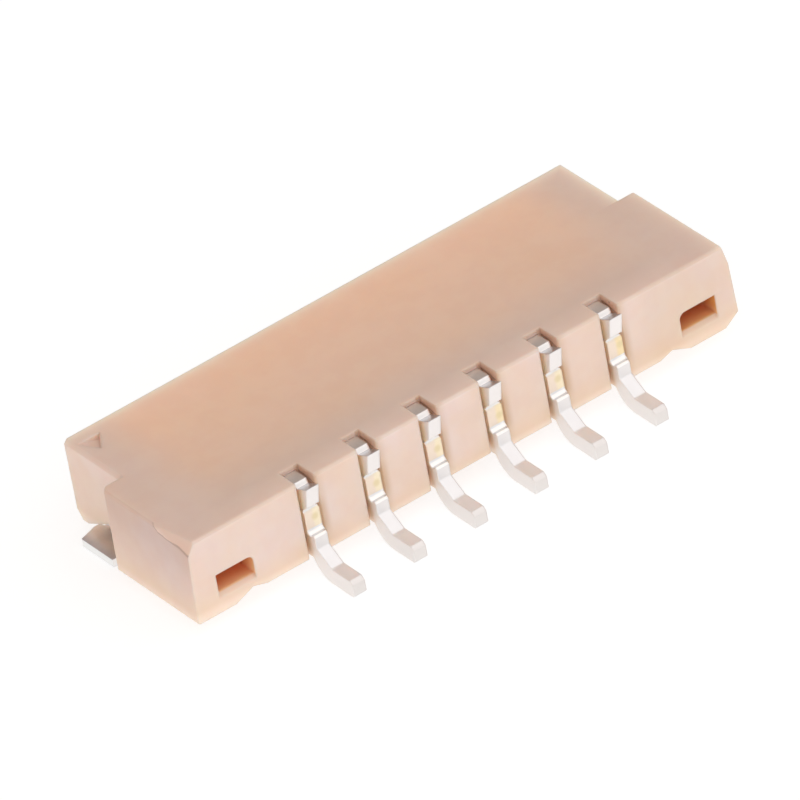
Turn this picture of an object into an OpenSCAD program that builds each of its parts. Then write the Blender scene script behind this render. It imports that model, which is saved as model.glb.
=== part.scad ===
// Low right-angle board connector: a moulded housing, a row of blanked contacts and two solder tabs.
// X runs along the row, +Y points out of the mating mouth, Z is up and the solder plane is z = 0.

/* [Contact row] */
// Number of contacts
contact_count = 6; // [2:1:10]
// Distance between neighbouring contacts
pitch = 1.25; // [1.1:0.05:2]
// Thickness of the contact sheet, across the row
contact_t = 0.25; // [0.15:0.01:0.32]

/* [Housing] */
// Height of the top face above the board
top_z = 1.81; // [1.7:0.01:2.4]
// Gap between the board and the feet
foot_z = 0.25; // [0.22:0.01:0.28]
// Depth of the housing from the rear face to the mouth
body_depth = 4.0; // [3.8:0.05:5]
// Depth of the wide rear flange
flange_depth = 2.4; // [2.1:0.05:2.5]
// Plastic from the last contact's centre to the flange's end
flange_end = 2.48; // [2.4:0.01:3]
// Step from the flange's end to the side of the front part
flange_step = 0.45; // [0.35:0.01:0.5]
// Draft of the flange's ends, from the feet to the top
flange_draft = 0.06; // [0:0.01:0.1]
// Eased outer corners of the flange's front, in plan
flange_corner = 0.15; // [0.03:0.01:0.2]
// Eased upper edges of the rear face and of the flange's left end
edge_ease = 0.04; // [0.02:0.01:0.06]
// Eased upper edge of the front part's left side
side_ease = 0.07; // [0.03:0.01:0.1]
// Width of the wedge cut at the flange's upper left rear corner
wedge_w = 0.15; // [0.06:0.01:0.2]
// Height of that wedge cut on the rear face
wedge_h = 0.23; // [0.1:0.01:0.4]
// Length of that wedge cut along the end
wedge_run = 1.0; // [0.5:0.05:2]
// Width of the bevel along the top of the flange's right end
bevel_w = 0.07; // [0.03:0.01:0.1]
// Height of that bevel
bevel_h = 0.38; // [0.2:0.01:0.45]
// Height of the chamfer under the mouth
chin_h = 0.18; // [0.1:0.01:0.2]
// Depth of the chamfer under the mouth
chin_d = 0.13; // [0.05:0.01:0.15]

/* [Feet and underside] */
// Width of each foot
foot_w = 0.73; // [0.6:0.01:0.85]
// Distance from the flange's left end to its foot
foot_in_left = 0.05; // [0.03:0.01:0.3]
// Distance from the flange's right end to its foot
foot_in_right = 0.3; // [0.03:0.01:0.33]
// Angle of the bevel outside each foot, in degrees
foot_bevel = 34; // [25:1:45]
// Run of the slant on each foot's inner side
foot_slant = 0.37; // [0.2:0.01:0.45]
// Rise of the shallow groove beside each foot
groove_rise = 0.155; // [0.12:0.005:0.18]
// Run of that groove's other side
groove_run = 0.28; // [0.15:0.01:0.35]
// Rise of the underside between the feet
underside_rise = 0.07; // [0.05:0.01:0.1]
// Extra rise in the middle of the underside
middle_rise = 0.075; // [0.03:0.005:0.1]
// Width of that raised middle
middle_w = 0.9; // [0.6:0.05:1]
// Length of that raised middle from the rear face
middle_l = 1.2; // [0.6:0.05:1.2]

/* [Mating cavity] */
// Wall between the rear face and the cavity
rear_wall = 1.3; // [1.25:0.05:1.6]
// Thickness of the roof over the cavity
roof_t = 0.32; // [0.24:0.01:0.36]
// Thickness of the floor under the cavity
floor_t = 0.3; // [0.24:0.01:0.36]
// Thickness of each end wall of the cavity
end_wall = 0.75; // [0.7:0.05:1]
// Lead-in chamfer round the mouth
mouth_lead = 0.12; // [0.05:0.01:0.14]

/* [Rear slots] */
// Clearance between a contact and each side of its slot
slot_gap = 0.06; // [0.055:0.005:0.15]
// Depth of each slot from the rear face
slot_depth = 0.48; // [0.42:0.01:0.6]
// Eased edge of the slot at the rear face
slot_ease = 0.03; // [0.02:0.01:0.12]

/* [Rear windows] */
// Width of each window
window_w = 0.75; // [0.5:0.05:0.9]
// Height of each window on the rear face
window_h = 0.46; // [0.4:0.01:0.6]
// Height of the sill above the foot's bottom
window_rise = 0.28; // [0.2:0.01:0.4]
// Rise of the ramp behind the sill
ramp_h = 0.07; // [0.05:0.01:0.15]
// Depth of that ramp
ramp_d = 0.09; // [0.08:0.01:0.3]
// Plastic between the window and the flange's end, where there is no shift
window_end = 0.45; // [0.35:0.01:0.5]
// Shift of both windows towards +X
window_shift = 0.04; // [-0.05:0.01:0.05]
// Depth of the blind pocket behind the window
window_depth = 1.1; // [0.6:0.05:1.15]
// Radius of the window's inner upper corner
window_round = 0.12; // [0.05:0.01:0.18]

/* [Corner mark] */
// Length of the triangle that marks the first contact
mark_l = 0.38; // [0.3:0.01:0.5]
// Width of the triangle's base
mark_w = 0.46; // [0.3:0.01:0.5]
// Depth of the triangle at its right corner, from which it rises to nothing at the left
mark_depth = 0.12; // [0.06:0.01:0.15]
// Distance from the triangle's base corner to the side
mark_side = 0.07; // [0.03:0.01:0.15]
// Distance from the triangle's base to the mouth
mark_front = 0.28; // [0.2:0.01:0.5]

/* [Contact leg] */
// Drop from the top face to the contact's cap
cap_drop = 0.095; // [0.05:0.005:0.15]
// Length of the cap in the slot
cap_l = 0.31; // [0.2:0.01:0.34]
// Height of the small step behind the cap
cap_step = 0.085; // [0.04:0.005:0.1]
// Slant of that step's face
cap_slant = 0.045; // [0:0.005:0.06]
// Drop from the top face to the shoulder's peak
shoulder_drop = 0.06; // [0.03:0.005:0.1]
// Height of the shoulder
shoulder_h = 0.4; // [0.25:0.01:0.42]
// Reach of the shoulder's peak behind the rear face
shoulder_out = 0.18; // [0.1:0.01:0.25]
// Lean of the shoulder's face towards the slot
shoulder_lean = 0.09; // [0:0.01:0.1]
// Height of the slant under the shoulder
shoulder_under = 0.1; // [0.05:0.01:0.15]
// Depth of the waist, measured in from the rear face
waist_in = 0.03; // [0:0.01:0.08]
// How much wider than the sheet the coined grip on the waist is, at each side
grip_extra = 0.025; // [0.01:0.005:0.04]
// How far the grip stands out from the waist
grip_proud = 0.045; // [0.02:0.005:0.06]
// Depth of the grip behind the waist's face
grip_d = 0.2; // [0.1:0.01:0.3]
// Height of the grip's lower end above the board
grip_z = 0.78; // [0.76:0.01:0.82]
// Height of the grip itself
grip_h = 0.46; // [0.36:0.01:0.46]
// How far the grip flares out at its lower end
grip_flare = 0.06; // [0.02:0.005:0.07]
// Height of the ledge between waist and block
ledge_z = 0.78; // [0.72:0.01:0.79]
// Height of the lower block's upper edge
block_z = 0.8; // [0.79:0.01:0.84]
// Reach of the lower block behind the rear face
block_out = 0.16; // [0.12:0.01:0.2]
// Bevel along the lower block's upper edge
block_bevel = 0.035; // [0.01:0.005:0.05]
// Height at which the block turns into the tail
knee_z = 0.55; // [0.5:0.01:0.6]

/* [Contact tail] */
// Reach of the tail behind the rear face
tail_out = 1.06; // [0.9:0.01:1.4]
// Thickness of the tail
tail_t = 0.32; // [0.25:0.01:0.36]
// Distance from the rear face to the start of the tail's flat
tail_flat = 0.5; // [0.44:0.01:0.6]
// Radius under the tail's bend
bend_r = 0.5; // [0.46:0.01:0.6]
// Bevel on the upper edge of the tail's tip
tip_bevel = 0.07; // [0.02:0.01:0.1]
// Eased lower edge of the tail's tip
tip_ease = 0.04; // [0.01:0.01:0.08]

/* [Mating post] */
// Height of the post
post_h = 0.3; // [0.2:0.01:0.36]
// Gap between the post's end and the mouth
post_back = 0.6; // [0.3:0.05:1]
// Length of the tapered nose
post_nose = 0.25; // [0.1:0.01:0.4]
// Height left at the end of the nose
post_tip = 0.12; // [0.06:0.01:0.16]
// Height of the taller root in the rear wall
root_h = 0.42; // [0.4:0.01:0.5]
// Length of that root
root_l = 0.5; // [0.3:0.05:0.55]
// Clearance round the post in the rear wall
post_clear = 0.02; // [0.01:0.005:0.04]

/* [Solder tabs] */
// Thickness of the tab sheet
tab_t = 0.16; // [0.1:0.01:0.18]
// Reach of the foot beyond the side of the front part
tab_out = 0.27; // [0.2:0.01:0.35]
// Gap between the flange and the foot
tab_gap = 0.3; // [0.1:0.01:0.35]
// Length of the foot
tab_l = 1.0; // [0.8:0.05:1.05]
// Width of the slanted corner at the foot's front
tab_corner_w = 0.34; // [0.1:0.01:0.4]
// Length of that slanted corner
tab_corner_l = 0.12; // [0.05:0.01:0.2]
// Distance from the side of the front part to the tab's leg
tab_inset = 0.27; // [0.24:0.01:0.3]
// Height of the leg's upper end above the board
tab_h = 1.25; // [0.9:0.05:1.4]
// How much shorter the leg is than the foot, at each side
tab_neck = 0.1; // [0.05:0.01:0.2]
// Inside radius of the tab's bend
tab_bend = 0.06; // [0.02:0.01:0.08]
// Clearance round the leg in its slot
tab_clear = 0.02; // [0.01:0.005:0.04]
// Height of the notch over the foot, above the board
notch_z = 0.55; // [0.4:0.01:0.65]
// Slant of the notch's front side
notch_slant = 0.65; // [0.1:0.05:0.7]

/* [Hidden] */
$fn = 48;
// Overlap that carries a cut past a face, or joins two outlines
cut = 0.1;
// Facets in the curve under a tail's bend, and in a window's rounded corner
bend_steps = 8;
// The rear face lies here, so that the origin is the middle of the outline
rear_y = (tail_out - body_depth) / 2;
row_half = (contact_count - 1) * pitch / 2;
slot_w = contact_t + 2 * slot_gap;
flange_half = row_half + flange_end;
front_half = flange_half - flange_step;
cavity_half = front_half - end_wall;
underside_z = foot_z + underside_rise;
cavity_low = underside_z + floor_t;
cavity_high = top_z - roof_t;
post_z = (cavity_low + cavity_high) / 2;
tab_leg_outer = front_half - tab_inset;
tab_leg_inner = tab_leg_outer - tab_t;
tab_start = flange_depth + tab_gap;
tab_end = tab_start + tab_l;
plastic = "#e2bda4";
tin = "#c9c8c4";

function contact_x(i) = (i - 1) * pitch - row_half;

// Points on an arc, from one angle to another
function arc(centre, r, a0, a1, steps) =
    [for (k = [0:steps]) centre + r * [cos(a0 + (a1 - a0) * k / steps), sin(a0 + (a1 - a0) * k / steps)]];

// Turns an outline drawn in depth and height into a plate of thickness t about x = 0
module plate(t) {
    rotate([90, 0, 90]) linear_extrude(t, center = true) children();
}

// Turns an outline drawn in width and height into a bar along +Y
module bar(length) {
    rotate([90, 0, 180]) mirror([1, 0, 0]) linear_extrude(length) children();
}

// Repeats a feature of the +X end at the other end
module both_ends() {
    children();
    mirror([1, 0, 0]) children();
}

// Side outline of the mating post with its root, grown by a clearance
module post_outline(start, grow) {
    root_end = slot_depth + root_l + grow;
    end = body_depth - post_back;
    root = root_h / 2 + grow;
    shaft = post_h / 2 + grow;
    upper = [
        [start, root],
        [root_end, root],
        [root_end + root - shaft, shaft],
        [end - post_nose, shaft],
        [end, post_tip / 2 + grow]
    ];
    lower = [for (k = [len(upper) - 1:-1:0]) [upper[k][0], -upper[k][1]]];
    translate([0, post_z]) polygon(concat(upper, lower));
}

// Side outline of the leg in the slot and of the tail
module leg_outline() {
    bend_angle = acos(1 - underside_z / bend_r);
    cap_z = top_z - cap_drop;
    cap_end = slot_depth - cap_l;
    peak_z = top_z - shoulder_drop;
    shoulder_low = peak_z - shoulder_h;
    polygon(concat(
        [
            [slot_depth, underside_z],
            [slot_depth, cap_z],
            [cap_end, cap_z],
            [cap_end - cap_slant, cap_z - cap_step],
            [-shoulder_out, peak_z],
            [shoulder_lean - shoulder_out, shoulder_low],
            [waist_in, shoulder_low - shoulder_under],
            [waist_in, ledge_z],
            [block_bevel - block_out, block_z],
            [-block_out, block_z - block_bevel],
            [-block_out, knee_z],
            [-tail_flat, tail_t],
            [tip_bevel - tail_out, tail_t],
            [-tail_out, tail_t - tip_bevel],
            [-tail_out, tip_ease],
            [tip_ease - tail_out, 0]
        ],
        arc([-bend_r * sin(bend_angle), bend_r], bend_r, -90, bend_angle - 90, bend_steps)
    ));
}

// Side outline of the coined grip on the waist, slanted at its upper end and flared at its lower end
module grip_outline() {
    face = waist_in - grip_proud;
    polygon([
        [waist_in + grip_d, grip_z],
        [waist_in + grip_d, grip_z + grip_h],
        [waist_in, grip_z + grip_h],
        [face, grip_z + grip_h - grip_proud],
        [face, grip_z + grip_flare],
        [face - grip_flare, grip_z]
    ]);
}

module contact(i) {
    color(tin) translate([contact_x(i), rear_y, 0]) union() {
        plate(contact_t) leg_outline();
        plate(contact_t + 2 * grip_extra) grip_outline();
        plate(contact_t) post_outline(slot_depth - cut, 0);
    }
}

// Half width of the flange at a height, narrower towards the top
function flange_x(z) = flange_half - flange_draft * (z - foot_z) / (top_z - foot_z);

// Wide rear flange: an end view with drafted ends and the right end's bevel, crossed with a plan view
module flange_block() {
    low = flange_x(foot_z);
    high = flange_x(top_z);
    bevel_z = top_z - bevel_h;
    ease_z = top_z - edge_ease;
    intersection() {
        bar(flange_depth) polygon([
            [-low, foot_z],
            [low, foot_z],
            [flange_x(bevel_z), bevel_z],
            [high - bevel_w, top_z],
            [edge_ease - high, top_z],
            [-flange_x(ease_z), ease_z]
        ]);
        linear_extrude(top_z + cut) polygon([
            [-low, 0],
            [low, 0],
            [low, flange_depth - flange_corner],
            [low - flange_corner, flange_depth],
            [flange_corner - low, flange_depth],
            [-low, flange_depth - flange_corner]
        ]);
    }
}

// Narrower front part, which reaches through the flange to the rear face
module front_block() {
    bar(body_depth) polygon([
        [-front_half, foot_z],
        [front_half, foot_z],
        [front_half, top_z],
        [side_ease - front_half, top_z],
        [-front_half, top_z - side_ease]
    ]);
}

// Both blocks, crossed with a side view that eases the upper edge of the rear face
module housing_block() {
    intersection() {
        union() {
            flange_block();
            front_block();
        }
        plate(2 * flange_half + 2 * cut) polygon([
            [0, foot_z],
            [body_depth, foot_z],
            [body_depth, top_z],
            [edge_ease, top_z],
            [0, top_z - edge_ease]
        ]);
    }
}

// Open space for the mating plug, with a lead-in round the mouth
module cavity() {
    translate([-cavity_half, rear_wall, cavity_low])
        cube([2 * cavity_half, body_depth - rear_wall + cut, cavity_high - cavity_low]);
    mouth_lead_cut();
}

// Four slanted sides that widen the mouth: a side outline crossed with a plan outline
module mouth_lead_cut() {
    back = body_depth - mouth_lead;
    front = body_depth + cut;
    widen = mouth_lead + cut;
    intersection() {
        plate(2 * front_half) polygon([
            [back, cavity_low],
            [front, cavity_low - widen],
            [front, cavity_high + widen],
            [back, cavity_high]
        ]);
        linear_extrude(top_z) polygon([
            [-cavity_half, back],
            [cavity_half, back],
            [cavity_half + widen, front],
            [-cavity_half - widen, front]
        ]);
    }
}

// Slot for one contact, open above and below, with eased rear edges
module contact_slot() {
    translate([0, 0, foot_z - cut]) linear_extrude(top_z - foot_z + 2 * cut)
        polygon([
            [-slot_w / 2 - slot_ease - cut, -cut],
            [slot_w / 2 + slot_ease + cut, -cut],
            [slot_w / 2, slot_ease],
            [slot_w / 2, slot_depth],
            [-slot_w / 2, slot_depth],
            [-slot_w / 2, slot_ease]
        ]);
    plate(contact_t + 2 * post_clear) post_outline(slot_depth - cut, post_clear);
}

// Blind window in the rear face at the +X end: its outline crossed with a side outline that has the ramp
module window() {
    outer = flange_half - window_end;
    inner = outer - window_w;
    sill = foot_z + window_rise;
    head = sill + window_h;
    pocket = sill + ramp_h;
    corner = [inner + window_round, head - window_round];
    intersection() {
        translate([0, -cut, 0]) bar(window_depth + cut) polygon(concat(
            [[inner, sill - cut], [outer, sill - cut], [outer, head]],
            arc(corner, window_round, 90, 180, bend_steps)
        ));
        translate([inner + window_w / 2, 0, 0]) plate(window_w + 2 * cut) polygon([
            [-ramp_d, sill - ramp_h],
            [ramp_d, pocket],
            [window_depth + cut, pocket],
            [window_depth + cut, head + cut],
            [-ramp_d, head + cut]
        ]);
    }
}

// Underside between the feet, with a shallow groove beside each foot and a raised middle
module underside_cut() {
    left = foot_in_left + foot_w - flange_half;
    right = flange_half - foot_in_right - foot_w;
    groove_z = foot_z + groove_rise;
    translate([0, -cut, 0]) bar(body_depth + 2 * cut) polygon([
        [left, foot_z - cut],
        [left, foot_z],
        [left + foot_slant, groove_z],
        [left + foot_slant + groove_run, underside_z],
        [right - foot_slant - groove_run, underside_z],
        [right - foot_slant, groove_z],
        [right, foot_z],
        [right, foot_z - cut]
    ]);
    translate([-middle_w / 2, -cut, foot_z])
        cube([middle_w, middle_l + cut, underside_rise + middle_rise]);
}

// Bevel along the lower outer edge of the flange at the +X end, outside a foot that starts at this inset
module foot_edge_cut(inset) {
    slope = tan(foot_bevel);
    translate([0, -cut, 0]) bar(flange_depth + 2 * cut) polygon([
        [flange_half - inset - cut / slope, foot_z - cut],
        [flange_half + cut, foot_z - cut],
        [flange_half + cut, foot_z + (inset + cut) * slope]
    ]);
}

// Wedge cut at the flange's upper rear corner, drawn at the +X end, which runs out along the end
module wedge_cut() {
    low_z = top_z - wedge_h;
    points = [
        [flange_half + cut, -cut, top_z + cut],
        [flange_x(top_z) - wedge_w, 0, top_z],
        [flange_x(low_z), 0, low_z],
        [flange_x(top_z), wedge_run, top_z]
    ];
    polyhedron(points, [[1, 2, 3], [0, 2, 1], [0, 3, 2], [0, 1, 3]]);
}

// Chamfer under the mouth
module chin_cut() {
    plate(2 * front_half + 2 * cut)
        polygon([
            [body_depth - chin_d, foot_z],
            [body_depth, foot_z + chin_h],
            [body_depth + cut, foot_z + chin_h],
            [body_depth + cut, foot_z - cut],
            [body_depth - chin_d, foot_z - cut]
        ]);
}

// Slot for the leg of the tab at the +X end, with the notch over its foot
module tab_slot() {
    leg_start = tab_start + tab_neck - tab_clear;
    leg_l = tab_l - 2 * tab_neck + 2 * tab_clear;
    slot_t = tab_t + 2 * tab_clear;
    translate([tab_leg_inner - tab_clear, leg_start, foot_z - cut])
        cube([slot_t, leg_l, tab_h + tab_clear - foot_z + cut]);
    notch_end = tab_end + tab_clear;
    depth = front_half - tab_leg_inner + tab_clear + cut;
    translate([tab_leg_inner - tab_clear + depth / 2, 0, 0]) plate(depth)
        polygon([
            [flange_depth, foot_z - cut],
            [notch_end, foot_z - cut],
            [notch_end, foot_z],
            [notch_end - notch_slant, notch_z],
            [flange_depth, notch_z]
        ]);
}

// Triangle in the top face at the first contact's end, which points to the rear and has a slanted floor
module corner_mark() {
    slant = atan(mark_depth / mark_w);
    translate([mark_side - front_half, body_depth - mark_front, top_z]) rotate([0, slant, 0])
        linear_extrude(mark_depth + cut) polygon([[0, 0], [mark_w / 2, -mark_l], [mark_w, 0]]);
}

module housing() {
    color(plastic) translate([0, rear_y, 0]) difference() {
        housing_block();
        cavity();
        for (i = [1:contact_count]) translate([contact_x(i), 0, 0]) contact_slot();
        translate([window_shift, 0, 0]) both_ends() window();
        both_ends() tab_slot();
        mirror([1, 0, 0]) wedge_cut();
        foot_edge_cut(foot_in_right);
        mirror([1, 0, 0]) foot_edge_cut(foot_in_left);
        underside_cut();
        chin_cut();
        corner_mark();
    }
}

// Bent sheet tab at the +X end: a leg in the end wall and a foot on the board
module tab_shape() {
    leg_start = tab_start + tab_neck;
    leg_l = tab_l - 2 * tab_neck;
    outer_r = tab_bend + tab_t;
    foot_x = tab_leg_inner + outer_r;
    foot_end = front_half + tab_out;
    translate([0, leg_start, 0]) bar(leg_l) union() {
        translate([tab_leg_inner, outer_r]) square([tab_t, tab_h - outer_r]);
        difference() {
            translate([foot_x, outer_r]) circle(outer_r);
            translate([foot_x, outer_r]) circle(tab_bend);
            translate([foot_x, -cut]) square([outer_r + cut, 2 * outer_r + 2 * cut]);
            translate([foot_x - outer_r - cut, outer_r]) square([outer_r + 2 * cut, outer_r + cut]);
        }
    }
    linear_extrude(tab_t) polygon([
        [foot_x, tab_start],
        [foot_end, tab_start],
        [foot_end, tab_end - tab_corner_l],
        [foot_end - tab_corner_w, tab_end],
        [foot_x, tab_end]
    ]);
}

module solder_tab_left() {
    color(tin) translate([0, rear_y, 0]) mirror([1, 0, 0]) tab_shape();
}

module solder_tab_right() {
    color(tin) translate([0, rear_y, 0]) tab_shape();
}

housing();
for (i = [1:contact_count]) contact(i);
solder_tab_left();
solder_tab_right();
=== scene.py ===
import math
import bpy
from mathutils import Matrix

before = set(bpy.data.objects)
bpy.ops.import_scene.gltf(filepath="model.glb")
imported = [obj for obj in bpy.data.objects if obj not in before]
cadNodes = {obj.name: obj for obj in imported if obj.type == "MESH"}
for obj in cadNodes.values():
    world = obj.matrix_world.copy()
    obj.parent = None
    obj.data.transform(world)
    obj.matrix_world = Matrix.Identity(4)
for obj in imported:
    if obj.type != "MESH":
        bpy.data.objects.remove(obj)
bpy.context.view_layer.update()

from types import SimpleNamespace

import bpy
import numpy as np
from mathutils import Matrix, Vector

mm = 0.001
contactNames = sorted(n for n in cadNodes if n.startswith("contact_"))
tabNames = sorted(n for n in cadNodes if n.startswith("solder_tab_"))
scene = bpy.context.scene
scene.view_settings.view_transform = "Standard"
print("frame loaded:", len(cadNodes), "pieces")

# Places on the part that the materials refer to, in mm in the part's frame.
# Three values are a band: from, to and how soft its ends are
partPlaces = {
    "rearFace": -1.47,
    "flangeFront": 0.93,
    "mouth": 2.53,
    "frontHalf": 5.155,                 # half the width of the front part
    "flangeHalf": 5.53,                 # and of the flange's top
    "cavity": (-4.4, 4.4, 1.2),
    "windowAcross": (4.25, 5.28, 0.05), # to both sides of the middle
    "windowTall": (0.59, 1.01, 0.02),
    "windowDeep": (0.02, 1.2, 0.05),    # in from the rear face
    "pitch": 1.25,
    "rowEnd": 3.5,                      # all slots lie within it, to both sides
    "slotHalf": 0.185,
    "slotAcross": (-0.195, 0.195, 0.02),
    "slotDeep": (0.03, 0.53, 0.04),     # in from the rear face
    # The painted shadow line of the crease under the left wedge: Y and height of its points
    "crease": [(-1.47, 1.60), (-1.18, 1.67), (-0.86, 1.68), (-0.65, 1.71), (-0.48, 1.81)],
}

# The view is the photograph's: a long lens, from behind and to the left, rolled a little
photoView = {
    "framePixels": 800,
    "azimuth": -30.56,              # degrees, 0 looks along +Y
    "elevation": 34.55,             # degrees above the floor
    "roll": -10.72,                 # degrees about the line of sight
    "target": (0.0, 0.53, 0.80),    # mm, the point that the view is measured from
    "targetPixel": (394.84, 397.37),
    "distance": 244.3,              # mm from the target to the lens
    "pixelsPerMm": 60.87,           # at the target
    "sensor": 36.0,                 # mm
    "nearest": 0.01,                # m, what is nearer to the lens isn't drawn
}


# Back points from the target to the lens, side is level, and the roll turns side and up about back
def makeCamera(look):
    a, e, r = (math.radians(look[k]) for k in ("azimuth", "elevation", "roll"))
    back = Vector((math.sin(a) * math.cos(e), -math.cos(a) * math.cos(e), math.sin(e)))
    side = Vector((math.cos(a), math.sin(a), 0))
    up = back.cross(side)
    right = side * math.cos(r) + up * math.sin(r)
    top = up * math.cos(r) - side * math.sin(r)
    place = (Vector(look["target"]) + back * look["distance"]) * mm
    data = bpy.data.cameras.new("photoCamera")
    data.sensor_fit = "HORIZONTAL"
    data.sensor_width = look["sensor"]
    frameWidth = look["framePixels"] / look["pixelsPerMm"]
    data.lens = look["sensor"] * look["distance"] / frameWidth
    u, v = look["targetPixel"]
    half = look["framePixels"] / 2
    data.shift_x = (half - u) / look["framePixels"]
    data.shift_y = (v - half) / look["framePixels"]
    data.clip_start = look["nearest"]
    camera = bpy.data.objects.new("photoCamera", data)
    turn = Matrix((right, top, back)).transposed().to_4x4()
    camera.matrix_world = Matrix.Translation(place) @ turn
    scene.collection.objects.link(camera)
    scene.camera = camera


makeCamera(photoView)
print("camera set: lens", round(scene.camera.data.lens), "mm")


def newMaterial(name):
    material = bpy.data.materials.new(name)
    material.use_nodes = True
    tree = material.node_tree
    shader = tree.nodes["Principled BSDF"]
    return material, tree, shader


# Inputs are given by name or number, as a value or as the output of another node
def setInputs(tree, node, inputs):
    for key, value in inputs.items():
        if isinstance(value, bpy.types.NodeSocket):
            tree.links.new(value, node.inputs[key])
        else:
            node.inputs[key].default_value = value


def addNode(tree, kind, inputs, **settings):
    node = tree.nodes.new(kind)
    for key, value in settings.items():
        setattr(node, key, value)
    setInputs(tree, node, inputs)
    return node


def calc(tree, operation, *values):
    return addNode(tree, "ShaderNodeMath", dict(enumerate(values)), operation=operation).outputs[0]


# The product of two or more values
def times(tree, first, *others):
    for other in others:
        first = calc(tree, "MULTIPLY", first, other)
    return first


# A smooth rise from 0 to 1 between two values, or a fall if they are in falling order
def rise(tree, value, start, end):
    low, high = min(start, end), max(start, end)
    near, far = (0.0, 1.0) if end > start else (1.0, 0.0)
    return addNode(tree, "ShaderNodeMapRange", {
        "Value": value, "From Min": low, "From Max": high, "To Min": near, "To Max": far},
        interpolation_type="SMOOTHSTEP").outputs[0]


# 1 between two values and 0 outside, with soft ends
def band(tree, value, start, end, soft):
    up = rise(tree, value, start - soft / 2, start + soft / 2)
    down = rise(tree, value, end + soft / 2, end - soft / 2)
    return times(tree, up, down)


# Two limits are a rise or a fall, three are a band
def within(tree, value, limits):
    shape = rise if len(limits) == 2 else band
    return shape(tree, value, *limits)


# From 0 to 1 becomes from low to high
def scaleRange(tree, value, low, high):
    return addNode(tree, "ShaderNodeMapRange",
                   {"Value": value, "To Min": low, "To Max": high}).outputs[0]


def blend(tree, factor, first, second, how="MIX"):
    return addNode(tree, "ShaderNodeMix", {0: factor, 6: first, 7: second},
                   data_type="RGBA", blend_type=how).outputs[2]


def noise(tree, place, size, detail=2.0):
    return addNode(tree, "ShaderNodeTexNoise",
                   {"Vector": place, "Scale": 1 / size, "Detail": detail}).outputs["Fac"]


def stretch(tree, place, scale):
    return addNode(tree, "ShaderNodeMapping", {"Vector": place, "Scale": scale}).outputs[0]


def bump(tree, height, depth, normal=None):
    inputs = {"Height": height, "Distance": depth * mm}
    if normal is not None:
        inputs["Normal"] = normal
    return addNode(tree, "ShaderNodeBump", inputs).outputs[0]


# Light runs round the edges as if they had this radius
def softNormal(tree, radius):
    return addNode(tree, "ShaderNodeBevel", {"Radius": radius * mm}, samples=8).outputs[0]


# A colour that runs through a list of places, each with its colour
def colourRun(tree, value, stops):
    first, last = stops[0][0], stops[-1][0]
    share = addNode(tree, "ShaderNodeMapRange",
                    {"Value": value, "From Min": first, "From Max": last}).outputs[0]
    node = addNode(tree, "ShaderNodeValToRGB", {"Fac": share})
    marks = node.color_ramp.elements
    for k, (place, colour) in enumerate(stops):
        position = (place - first) / (last - first)
        mark = marks[0] if k == 0 else marks[-1] if k == len(stops) - 1 else marks.new(position)
        mark.position = position
        mark.color = colour
    return node.outputs["Color"]


# The same for a height, kept as a grey between the lowest and the highest
def heightRun(tree, value, stops):
    low, high = min(h for p, h in stops), max(h for p, h in stops)
    greys = [(p, ((h - low) / (high - low),) * 3 + (1,)) for p, h in stops]
    return scaleRange(tree, colourRun(tree, value, greys), low, high)


# Where a point of the surface lies, in mm, and the way it faces, both in the part's own axes
def readSurface(tree):
    place = addNode(tree, "ShaderNodeTexCoord", {}).outputs["Object"]
    place = stretch(tree, place, (1 / mm,) * 3)
    x, y, z = addNode(tree, "ShaderNodeSeparateXYZ", {"Vector": place}).outputs
    normal = addNode(tree, "ShaderNodeNewGeometry", {}).outputs["Normal"]
    own = addNode(tree, "ShaderNodeVectorTransform", {"Vector": normal}, vector_type="NORMAL",
                  convert_from="WORLD", convert_to="OBJECT").outputs[0]
    faceX, faceY, faceZ = addNode(tree, "ShaderNodeSeparateXYZ", {"Vector": own}).outputs
    return SimpleNamespace(place=place, x=x, y=y, z=z, faceX=faceX, faceY=faceY, faceZ=faceZ)


# How far a point lies in from the rear face
def depthOf(tree, at, places):
    return calc(tree, "SUBTRACT", at.y, places["rearFace"])


# Distance across from the middle of the nearest contact: the row repeats with the pitch
def acrossContact(tree, at, places):
    repeated = calc(tree, "FLOORED_MODULO", at.x, places["pitch"])
    return calc(tree, "SUBTRACT", repeated, places["pitch"] / 2)


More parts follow.
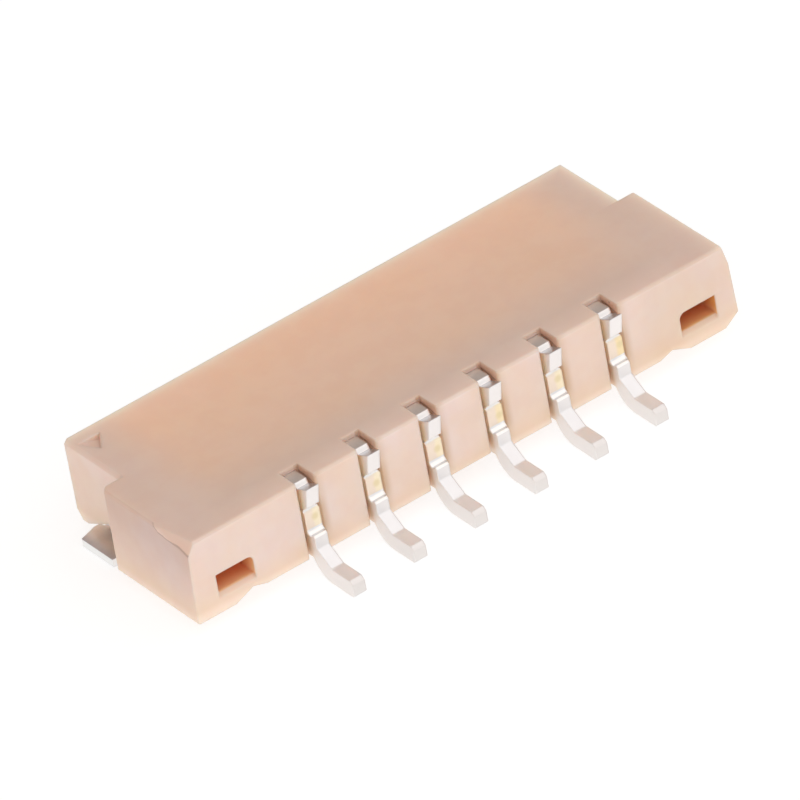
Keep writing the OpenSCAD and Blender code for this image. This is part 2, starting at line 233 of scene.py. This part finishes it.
# Natural nylon: pale peach, light goes a little way in, fine spark-eroded skin.
# Lengths are in mm. Two values say where a change starts and where it is full, three are a band
nylonLook = {
    "pink": (0.851, 0.692, 0.627, 1),
    "tan": (0.851, 0.666, 0.551, 1),
    "mottleSize": 1.5,
    "blotch": (0.985, 0.965, 0.965, 1),     # tint of the small patches
    "blotchSize": 0.4,
    "patchRun": (0.35, 0.65),               # in the noise of the mottle and the patches
    "patchDetail": 3.0,
    "roof": [                               # painted shade and glow of the top over the cavity, from the rear to the mouth
        (-1.35, (0.753, 0.589, 0.509, 1)),
        (-0.87, (0.667, 0.512, 0.441, 1)),
        (0.03, (0.775, 0.537, 0.421, 1)),
        (2.03, (0.890, 0.578, 0.428, 1)),
    ],
    # painted shade of the top beyond the ends of the cavity
    "roofEnds": (0.712, 0.546, 0.474, 1),
    "roofMottle": 0.25,                     # how strongly the mottle shows there
    "roofFacing": (0.4, 0.9),               # Z of the way it faces
    "roofRun": (1.5, 1.6),                  # height
    "farEdge": (1.0, 0.865, 0.72, 1),       # painted glow of the top along the mouth and the right
    "farEdgeRun": 0.12,                     # how fast that fades
    "window": (0.93, 0.55, 0.27, 1),        # painted shade just inside the two rear windows
    "pocket": (0.88, 0.31, 0.085, 1),       # and darker painted shade deep in them
    "pocketRun": (0.05, 0.4),
    "rightWindow": (0.89, 0.76, 0.44, 1),   # tint of the right one, which less light reaches
    "slot": (0.97, 0.80, 0.66, 1),          # painted glow inside the slots, of light through the plastic
    "slotTop": (0.76, 0.56, 0.455, 1),      # and painted shade at their upper ends
    "slotTopRun": (1.4, 1.7),
    "slotEdge": (0.78, 0.68, 0.54, 1),      # painted shade on the soft edge at the right of each slot
    "slotEdgeRun": 0.19,                    # how far it fades out
    "slotEdgeFrom": 0.1,                    # from here to the right of the contact's middle
    "slotEdgeTall": (0.70, 1.30, 0.3),      # band of heights in which it is strong
    "slotEdgeShare": (0.45, 1.0),           # its strength outside and inside that band
    "low": (0.85, 0.645, 0.455, 1),         # painted glow along the lower edges, which let light through
    "lowShare": 0.6,
    "lowRun": (0.95, 0.3),
    "rim": (0.94, 0.745, 0.62, 1),          # painted glow on the lowest edge itself
    "rimRun": (0.5, 0.32),
    "rearFacing": (-0.3, -0.6),             # Y of the way the rear face faces
    "rightTint": (0.95, 0.94, 0.90, 1),     # the rear face beyond the last contact
    "rightRun": (3.5, 4.1),
    "leftFacing": (-0.5, -0.9),             # X of the way the left end faces
    "leftFade": 0.1,                        # in front of the flange
    "leftTints": [                          # painted shade on the flange's left end, and more of it higher up
        ((0.925, 0.90, 0.915, 1), (0.45, 1.0)),
        ((0.855, 0.82, 0.80, 1), (0.8, 1.7)),
    ],
    "wedgeTint": (0.965, 0.90, 0.84, 1),    # painted shade above the crease
    "wedgeRun": (-0.01, 0.02),
    # painted shadow in the crease
    "crease": (0.2, 0.1, 0.06, 1),
    "creaseShare": 0.40,
    "creaseWide": (-0.013, 0.013, 0.0195),
    "creaseWave": 0.015,                    # how far it wanders up and down
    "creaseWaveSize": 0.12,
    "inside": 0.5,                          # share of the light that goes into the plastic
    "depth": 0.3,                           # how far red light spreads inside
    "spread": (1.0, 0.7, 0.5),              # share of that depth for red, green, blue
    "roughness": (0.40, 0.52),
    "grainSize": 0.035,
    "grainDepth": 0.0014,
    "waveSize": 0.5,
    "waveDetail": 1.0,
    "waveDepth": 0.004,
    "speckCell": 0.55,
    "speckSize": 0.025,
    "speckCore": 1 / 3,                     # share of it that is fully dark
    "speckChance": 0.05,
    "speckDark": 0.55,
    "edge": 0.05,                           # rounding of the moulded edges
    "edgeSteps": 3,
    "softEdge": 0.07,                       # and how far the light runs round them
}


# Painted light on the top: it is painted darker as painted shade, and the thin roof over the cavity
# is painted warmer towards the mouth as a painted glow of light through it
def paintRoofLight(tree, at, colour, look, places):
    upward = within(tree, at.faceZ, look["roofFacing"])
    up = times(tree, upward, within(tree, at.z, look["roofRun"]))
    inRoof = within(tree, at.x, places["cavity"])
    roof = blend(tree, inRoof, look["roofEnds"], colourRun(tree, at.y, look["roof"]))
    mottled = blend(tree, 1.0, roof, colour, "OVERLAY")
    colour = blend(tree, up, colour, blend(tree, look["roofMottle"], roof, mottled))

    # The painted glow fades with the distance from the mouth or the right end, whichever is nearer
    inFront = calc(tree, "GREATER_THAN", at.y, places["flangeFront"])
    rightEnd = scaleRange(tree, inFront, places["flangeHalf"], places["frontHalf"])
    toRight = calc(tree, "SUBTRACT", rightEnd, at.x)
    toMouth = calc(tree, "SUBTRACT", places["mouth"], at.y)
    toEdge = calc(tree, "MINIMUM", toRight, toMouth)
    fade = calc(tree, "EXPONENT", calc(tree, "DIVIDE", toEdge, -look["farEdgeRun"]))
    fade = calc(tree, "MINIMUM", fade, 1.0)
    return blend(tree, times(tree, fade, up), colour, look["farEdge"])


# Painted shade in the windows: deep in them only light that has gone through the plastic arrives,
# so they are painted darker and more orange
def paintWindowShade(tree, at, colour, look, places):
    depth = depthOf(tree, at, places)
    across = within(tree, calc(tree, "ABSOLUTE", at.x), places["windowAcross"])
    tall = within(tree, at.z, places["windowTall"])
    window = times(tree, within(tree, depth, places["windowDeep"]), across, tall)
    inner = blend(tree, within(tree, depth, look["pocketRun"]), look["window"], look["pocket"])
    onRight = calc(tree, "GREATER_THAN", at.x, 0.0)
    inner = blend(tree, onRight, inner, look["rightWindow"], "MULTIPLY")
    return blend(tree, window, colour, inner)


# Painted light in the slots: a painted glow of light through their thin walls, painted shade at
# their upper ends, and painted shade beside each contact
def paintSlotLight(tree, at, colour, look, places):
    across = acrossContact(tree, at, places)
    inRow = calc(tree, "LESS_THAN", calc(tree, "ABSOLUTE", at.x), places["rowEnd"])
    deep = within(tree, depthOf(tree, at, places), places["slotDeep"])
    slot = times(tree, within(tree, across, places["slotAcross"]), deep, inRow)
    glow = blend(tree, within(tree, at.z, look["slotTopRun"]), look["slot"], look["slotTop"])
    colour = blend(tree, slot, colour, glow)

    # Painted shade on the rear face just right of each contact
    wall = places["slotHalf"]
    edge = rise(tree, across, wall + look["slotEdgeRun"], wall)
    onRight = calc(tree, "GREATER_THAN", across, look["slotEdgeFrom"])
    rearward = within(tree, at.faceY, look["rearFacing"])
    tall = within(tree, at.z, look["slotEdgeTall"])
    strength = scaleRange(tree, tall, *look["slotEdgeShare"])
    edge = times(tree, edge, onRight, inRow, rearward, strength)
    return blend(tree, edge, colour, look["slotEdge"], "MULTIPLY")


# Painted light on the ends: a painted glow makes the lower edges warmer and brighter, and painted
# shade makes the flange's left end dimmer above them
def paintEndLight(tree, at, colour, look, places):
    low = times(tree, within(tree, at.z, look["lowRun"]), look["lowShare"])
    colour = blend(tree, low, colour, look["low"])
    colour = blend(tree, within(tree, at.z, look["rimRun"]), colour, look["rim"])
    front = places["flangeFront"]
    inFlange = rise(tree, at.y, front + look["leftFade"], front)
    left = times(tree, within(tree, at.faceX, look["leftFacing"]), inFlange)

    # The wedge above the crease near its upper rear corner gets a painted shade of its own, as
    # bright as the rear face, in place of the left end's painted shade
    wave = noise(tree, at.place, look["creaseWaveSize"])
    wave = scaleRange(tree, wave, -look["creaseWave"], look["creaseWave"])
    over = calc(tree, "SUBTRACT", at.z, heightRun(tree, at.y, places["crease"]))
    over = calc(tree, "ADD", over, wave)
    creaseEnd = places["crease"][-1][0]
    rear = times(tree, left, calc(tree, "LESS_THAN", at.y, creaseEnd))
    wedge = times(tree, rear, within(tree, over, look["wedgeRun"]))
    colour = blend(tree, wedge, colour, look["wedgeTint"], "MULTIPLY")
    under = calc(tree, "SUBTRACT", left, wedge)
    for tint, run in look["leftTints"]:
        dim = times(tree, under, within(tree, at.z, run))
        colour = blend(tree, dim, colour, tint, "MULTIPLY")
    # A painted shadow line along the crease
    crease = times(tree, rear, within(tree, over, look["creaseWide"]), look["creaseShare"])
    colour = blend(tree, crease, colour, look["crease"])

    rearward = within(tree, at.faceY, look["rearFacing"])
    right = times(tree, within(tree, at.x, look["rightRun"]), rearward)
    return blend(tree, right, colour, look["rightTint"], "MULTIPLY")


# Small darker patches all over, and dark specks in a few cells of a Voronoi pattern
def paintPatches(tree, at, colour, look):
    patch = noise(tree, at.place, look["blotchSize"], look["patchDetail"])
    colour = blend(tree, within(tree, patch, look["patchRun"]), colour, look["blotch"], "MULTIPLY")
    cells = addNode(tree, "ShaderNodeTexVoronoi",
                    {"Vector": at.place, "Scale": 1 / look["speckCell"]}).outputs
    chance = addNode(tree, "ShaderNodeSeparateColor", {"Color": cells["Color"]}).outputs[0]
    chosen = calc(tree, "LESS_THAN", chance, look["speckChance"])
    size = look["speckSize"] / look["speckCell"]
    speck = times(tree, chosen, rise(tree, cells["Distance"], size, size * look["speckCore"]))
    dark = scaleRange(tree, speck, 1.0, look["speckDark"])
    return blend(tree, 1.0, colour, dark, "MULTIPLY")


def makeNylon(look, places):
    material, tree, shader = newMaterial("naturalNylon")
    at = readSurface(tree)
    mottle = noise(tree, at.place, look["mottleSize"], look["patchDetail"])
    colour = blend(tree, within(tree, mottle, look["patchRun"]), look["pink"], look["tan"])
    for paint in (paintRoofLight, paintWindowShade, paintSlotLight, paintEndLight):
        colour = paint(tree, at, colour, look, places)
    colour = paintPatches(tree, at, colour, look)
    grain = noise(tree, at.place, look["grainSize"])
    wave = noise(tree, at.place, look["waveSize"], look["waveDetail"])
    normal = softNormal(tree, look["softEdge"])
    normal = bump(tree, wave, look["waveDepth"], normal)
    normal = bump(tree, grain, look["grainDepth"], normal)
    setInputs(tree, shader, {
        "Base Color": colour,
        "Normal": normal,
        "Roughness": scaleRange(tree, grain, *look["roughness"]),
        "Subsurface Weight": look["inside"],
        "Subsurface Radius": look["spread"],
        "Subsurface Scale": look["depth"] * mm,
    })
    return material


# Tin over a copper alloy sheet, worn to the alloy's gold on the waist of each contact.
# Lengths are in mm. Two values say where a change starts and where it is full, three are a band
contactLook = {
    "colour": (0.925, 0.908, 0.898, 1),
    "dull": (0.86, 0.84, 0.828, 1),
    "dullRun": (0.4, 0.75),                 # in the noise
    "patchSize": 0.18,
    "sides": (0.90, 0.875, 0.86, 1),        # the sheared sides of the sheet
    "sideFacing": (0.5, 0.9),               # X of the way they face
    "slotReflectionLow": (0.90, 0.80, 0.70, 1),       # painted warm reflection of the plastic on the sides within the slot
    "slotReflectionHigh": (1.0, 0.94, 0.82, 1),
    "slotTall": (0.8, 1.3),
    "slotRun": (-0.1, 0.05),                # in from the rear face
    "ways": {                               # Y and Z of the ways that other faces face
        "up": {"faceZ": (0.95, 0.98)},
        "rear": {"faceY": (-0.9, -0.96)},
        "leaning": {"faceY": (-0.2, -0.35), "faceZ": (0.35, 0.92, 0.1)},
        "slanting": {"faceY": (0.15, 0.3), "faceZ": (0.7, 0.85)},
    },
    # Painted light on faces: a painted tone or tint for the reflections and shade that each face
    # gets, by the way it faces and the heights it lies between
    "paintedTones": [
        ("up", (0.20, 0.40, 0.01), (0.895, 0.92, 0.955, 1)),        # the tail
        ("rear", (0.40, 0.78, 0.01), (0.85, 0.82, 0.81, 1)),        # the block above it
        ("rear", (-0.1, 0.30, 0.01), (0.80, 0.76, 0.735, 1)),       # the tail's end
        ("rear", (1.30, 1.80, 0.01), (0.905, 0.87, 0.855, 1)),      # the broad shoulder
        ("leaning", (0.0, 0.325, 0.01), (0.835, 0.775, 0.745, 1)),  # the bevel at the tail's end
        ("leaning", (0.325, 0.70, 0.01), (0.86, 0.825, 0.82, 1)),   # the bend to the tail
        ("leaning", (0.755, 0.88, 0.01), (1.0, 0.955, 0.925, 1)),   # painted highlight on the flare, and a bevel below
        ("leaning", (1.60, 1.72, 0.01), (1.0, 0.955, 0.925, 1)),    # painted highlight on the step of the upper arm
    ],
    "paintedTints": [
        ("up", (0.76, 0.82, 0.01), (0.85, 0.88, 0.94, 1)),          # painted shadow on the ledge under the flare
        ("up", (1.60, 1.80, 0.01), (0.875, 0.885, 0.90, 1)),        # painted shade on the upper arm's top
        ("slanting", (1.60, 1.80, 0.01), (0.73, 0.75, 0.795, 1)),   # painted shade on the slant behind it
    ],
    "cream": (0.905, 0.765, 0.64, 1),
    "waist": (0.88, 1.22, 0.03),            # heights between which the alloy shows
    "waistRun": (0.06, 0.02),               # in from the rear face
    "gold": (0.955, 0.84, 0.64, 1),
    "deepGold": (0.94, 0.76, 0.46, 1),      # on the contacts that are worn most
    "goldRun": (0.0, 0.07),                 # across
    "goldWave": 0.05,                       # how far its edge wanders
    "brown": (0.80, 0.67, 0.40, 1),
    "brownShare": 0.75,
    "spot": (0.065, 1.07),                  # across and up, the middle of the brown spot
    "spotShift": (0.05, 0.12),              # how far it lies elsewhere from contact to contact
    "spotRun": (0.104, 0.024),              # distance from that middle
    "roughness": (0.30, 0.46),
    "sideRoughness": 0.65,
    "streakSize": 0.02,
    "streakShape": (1.0, 0.2, 0.2),
    "streakDepth": 0.0006,
    "edge": 0.03,
    "edgeSteps": 2,
    "softEdge": 0.04,                       # how far the light runs round the rolled edges
}


# Painted light: each face gets the painted tone or tint for the way it faces and its height
def paintFaceLight(tree, at, colour, look):
    turned = {}
    for way, axes in look["ways"].items():
        turned[way] = times(tree, *(within(tree, getattr(at, a), v) for a, v in axes.items()))
    for rows, how in ((look["paintedTones"], "MIX"), (look["paintedTints"], "MULTIPLY")):
        for way, heights, tone in rows:
            here = times(tree, turned[way], within(tree, at.z, heights))
            colour = blend(tree, here, colour, tone, how)
    return colour


# No two contacts are worn alike: each draws its own gold and its own place of the brown spot
def paintWear(tree, at, colour, patch, look, places):
    across = acrossContact(tree, at, places)
    outside = within(tree, depthOf(tree, at, places), look["waistRun"])
    worn = times(tree, within(tree, at.z, look["waist"]), outside)
    colour = blend(tree, worn, colour, look["cream"])
    which = calc(tree, "FLOOR", calc(tree, "DIVIDE", at.x, places["pitch"]))
    draw = addNode(tree, "ShaderNodeTexWhiteNoise", {"W": which}, noise_dimensions="1D").outputs
    ownGold = blend(tree, draw["Value"], look["gold"], look["deepGold"])
    edge = calc(tree, "ADD", across, times(tree, patch, look["goldWave"]))
    gold = times(tree, worn, within(tree, edge, look["goldRun"]))
    colour = blend(tree, gold, colour, ownGold)
    draws = addNode(tree, "ShaderNodeSeparateColor", {"Color": draw["Color"]}).outputs
    squares = []
    for value, own, middle, shift in zip((across, at.z), draws, look["spot"], look["spotShift"]):
        ownMiddle = scaleRange(tree, own, middle - shift / 2, middle + shift / 2)
        away = calc(tree, "SUBTRACT", value, ownMiddle)
        squares.append(times(tree, away, away))
    away = calc(tree, "SQRT", calc(tree, "ADD", *squares))
    spot = times(tree, worn, within(tree, away, look["spotRun"]), look["brownShare"])
    return blend(tree, spot, colour, look["brown"])


def makeContactTin(look, places):
    material, tree, shader = newMaterial("contactTin")
    at = readSurface(tree)
    patch = noise(tree, at.place, look["patchSize"])
    colour = blend(tree, within(tree, patch, look["dullRun"]), look["colour"], look["dull"])
    side = within(tree, calc(tree, "ABSOLUTE", at.faceX), look["sideFacing"])
    # Painted reflection: within the slot the sides are painted warm, as the plastic beside them
    # reflects on them
    inSlot = within(tree, depthOf(tree, at, places), look["slotRun"])
    warmReflection = blend(tree, within(tree, at.z, look["slotTall"]), look["slotReflectionLow"], look["slotReflectionHigh"])
    colour = blend(tree, side, colour, blend(tree, inSlot, look["sides"], warmReflection))
    colour = paintFaceLight(tree, at, colour, look)
    colour = paintWear(tree, at, colour, patch, look, places)
    rough = scaleRange(tree, patch, *look["roughness"])
    rough = addNode(tree, "ShaderNodeMix", {0: side, 2: rough, 3: look["sideRoughness"]}).outputs[0]

    # Fine lines that the blanking punch leaves, along the height
    streak = noise(tree, stretch(tree, at.place, look["streakShape"]), look["streakSize"])
    normal = bump(tree, streak, look["streakDepth"], softNormal(tree, look["softEdge"]))
    setInputs(tree, shader, {
        "Base Color": colour,
        "Normal": normal,
        "Roughness": rough,
        "Metallic": 1.0,
    })
    return material


# The solder tabs are matt tin with a rolled grain along their length. Lengths are in mm
tabLook = {
    "colour": (0.90, 0.88, 0.875, 1),
    "dull": (0.81, 0.79, 0.785, 1),
    "dullRun": (0.35, 0.7),                 # in the noise
    "patchSize": 0.25,
    "outer": (0.66, 0.70, 0.79, 1),         # painted shade towards the foot's outer edge
    "outerRun": (5.17, 5.41),               # from the middle of the part
    "sheared": (0.88, 0.88, 0.87, 1),       # the edges of the sheet
    "shearedFacing": (0.6, 0.2),            # Z of the way they face
    "roughness": (0.28, 0.42),
    "grainSize": 0.03,
    "grainShape": (1.0, 0.15, 1.0),
    "grainDepth": 0.0008,
    "edge": 0.02,
    "edgeSteps": 2,
}


def makeTabTin(look):
    material, tree, shader = newMaterial("tabTin")
    at = readSurface(tree)
    patch = noise(tree, at.place, look["patchSize"])
    colour = blend(tree, within(tree, patch, look["dullRun"]), look["colour"], look["dull"])
    # Painted shade: the tab is painted darker towards the foot's outer edge
    outer = within(tree, calc(tree, "ABSOLUTE", at.x), look["outerRun"])
    colour = blend(tree, outer, colour, look["outer"], "MULTIPLY")
    sheared = within(tree, calc(tree, "ABSOLUTE", at.faceZ), look["shearedFacing"])
    colour = blend(tree, sheared, colour, look["sheared"])
    grain = noise(tree, stretch(tree, at.place, look["grainShape"]), look["grainSize"])
    setInputs(tree, shader, {
        "Base Color": colour,
        "Normal": bump(tree, grain, look["grainDepth"]),
        "Roughness": scaleRange(tree, grain, *look["roughness"]),
        "Metallic": 1.0,
    })
    return material


# The CAD triangles are joined to flat faces, their sharp edges rounded and slivers closed
roundLook = {
    "joinWithin": 1e-7,      # m
    "flatWithin": 0.5,       # degrees
    "sharpFrom": 25,         # degrees
}


def roundEdges(piece, width, steps, look):
    weld = piece.modifiers.new("weld", "WELD")
    weld.merge_threshold = look["joinWithin"]
    flat = piece.modifiers.new("flat", "DECIMATE")
    flat.decimate_type = "DISSOLVE"
    flat.angle_limit = math.radians(look["flatWithin"])
    bevel = piece.modifiers.new("edges", "BEVEL")
    bevel.width = width
    bevel.segments = steps
    bevel.limit_method = "ANGLE"
    bevel.angle_limit = math.radians(look["sharpFrom"])
    bevel.use_clamp_overlap = True
    bevel.harden_normals = True
    join = piece.modifiers.new("join", "WELD")
    join.merge_threshold = look["joinWithin"]


def dress(names, material, look):
    for name in names:
        piece = cadNodes[name]
        piece.data.materials.clear()
        piece.data.materials.append(material)
        roundEdges(piece, look["edge"] * mm, look["edgeSteps"], roundLook)


dress(["housing"], makeNylon(nylonLook, partPlaces), nylonLook)
dress(contactNames, makeContactTin(contactLook, partPlaces), contactLook)
dress(tabNames, makeTabTin(tabLook), tabLook)
print("pieces dressed")

# A flat white square, which gives a little light of its own
tableLook = {
    "half": 1.5,             # m
    "bounce": 0.85,          # grey of the table for light that falls on it
    "glow": 0.31,            # its own light
    "seenBounce": 0.40,      # the same two where the table itself is seen, so that it is white
    "seenGlow": 0.715,
}


def makeTable(look):
    corners = np.array([[-1, -1, 0], [1, -1, 0], [1, 1, 0], [-1, 1, 0]], float) * look["half"]
    mesh = bpy.data.meshes.new("table")
    mesh.from_pydata(corners.tolist(), [], [(0, 1, 2, 3)])
    table = bpy.data.objects.new("table", mesh)
    scene.collection.objects.link(table)
    material, tree, shader = newMaterial("whiteTable")
    tree.nodes.remove(shader)
    path = addNode(tree, "ShaderNodeLightPath", {}).outputs
    seen = calc(tree, "MAXIMUM", path["Is Camera Ray"], path["Is Glossy Ray"])
    seen = calc(tree, "MAXIMUM", seen, path["Is Transmission Ray"])
    grey = scaleRange(tree, seen, look["bounce"], look["seenBounce"])
    glow = scaleRange(tree, seen, look["glow"], look["seenGlow"])
    lit = addNode(tree, "ShaderNodeBsdfDiffuse", {"Color": grey}).outputs[0]
    emit = addNode(tree, "ShaderNodeEmission", {"Strength": glow}).outputs[0]
    above = addNode(tree, "ShaderNodeAddShader", {0: lit, 1: emit}).outputs[0]
    below = addNode(tree, "ShaderNodeBsdfTransparent", {}).outputs[0]    # open to a view from below
    side = addNode(tree, "ShaderNodeNewGeometry", {}).outputs["Backfacing"]
    mix = addNode(tree, "ShaderNodeMixShader", {0: side, 1: above, 2: below}).outputs[0]
    setInputs(tree, tree.nodes["Material Output"], {"Surface": mix})
    mesh.materials.append(material)


makeTable(tableLook)

# A soft room that is dimmer on the far side, and one broad lamp above
roomLook = {
    "near": (1.0, 1.0, 1.0, 1),        # the room on the viewer's side
    "far": (0.44, 0.355, 0.305, 1),    # and beyond the part, dimmer and warmer
    "turn": (-0.25, 0.35),             # where it changes, as the Y of a direction
    "horizon": (0.02, 0.22),           # below this Z of a direction it is bright all round
    "lampWay": (0.15, -0.05, 1.0),     # direction from the part
    "lampAway": 0.8,                   # m
    "lampSide": 1.0,                   # m
    "lampLevel": 0.115,                # on a white face turned to it
}


def makeRoom(look):
    world = bpy.data.worlds.new("softRoom")
    world.use_nodes = True
    tree = world.node_tree
    way = addNode(tree, "ShaderNodeTexCoord", {}).outputs["Generated"]
    axes = addNode(tree, "ShaderNodeSeparateXYZ", {"Vector": way}).outputs
    beyond = times(tree, within(tree, axes["Y"], look["turn"]),
                   within(tree, axes["Z"], look["horizon"]))
    colour = blend(tree, beyond, look["near"], look["far"])
    setInputs(tree, tree.nodes["Background"], {"Color": colour})
    scene.world = world


def makeLamp(look):
    data = bpy.data.lights.new("topLamp", "AREA")
    data.shape = "SQUARE"
    data.size = look["lampSide"]
    data.energy = look["lampLevel"] * (math.pi * look["lampAway"]) ** 2    # W for that level
    lamp = bpy.data.objects.new("topLamp", data)
    toward = Vector(look["lampWay"]).normalized()
    turn = (-toward).to_track_quat("-Z", "Y").to_matrix().to_4x4()
    lamp.matrix_world = Matrix.Translation(toward * look["lampAway"]) @ turn
    scene.collection.objects.link(lamp)


makeRoom(roomLook)
makeLamp(roomLook)
print("table and room lit")
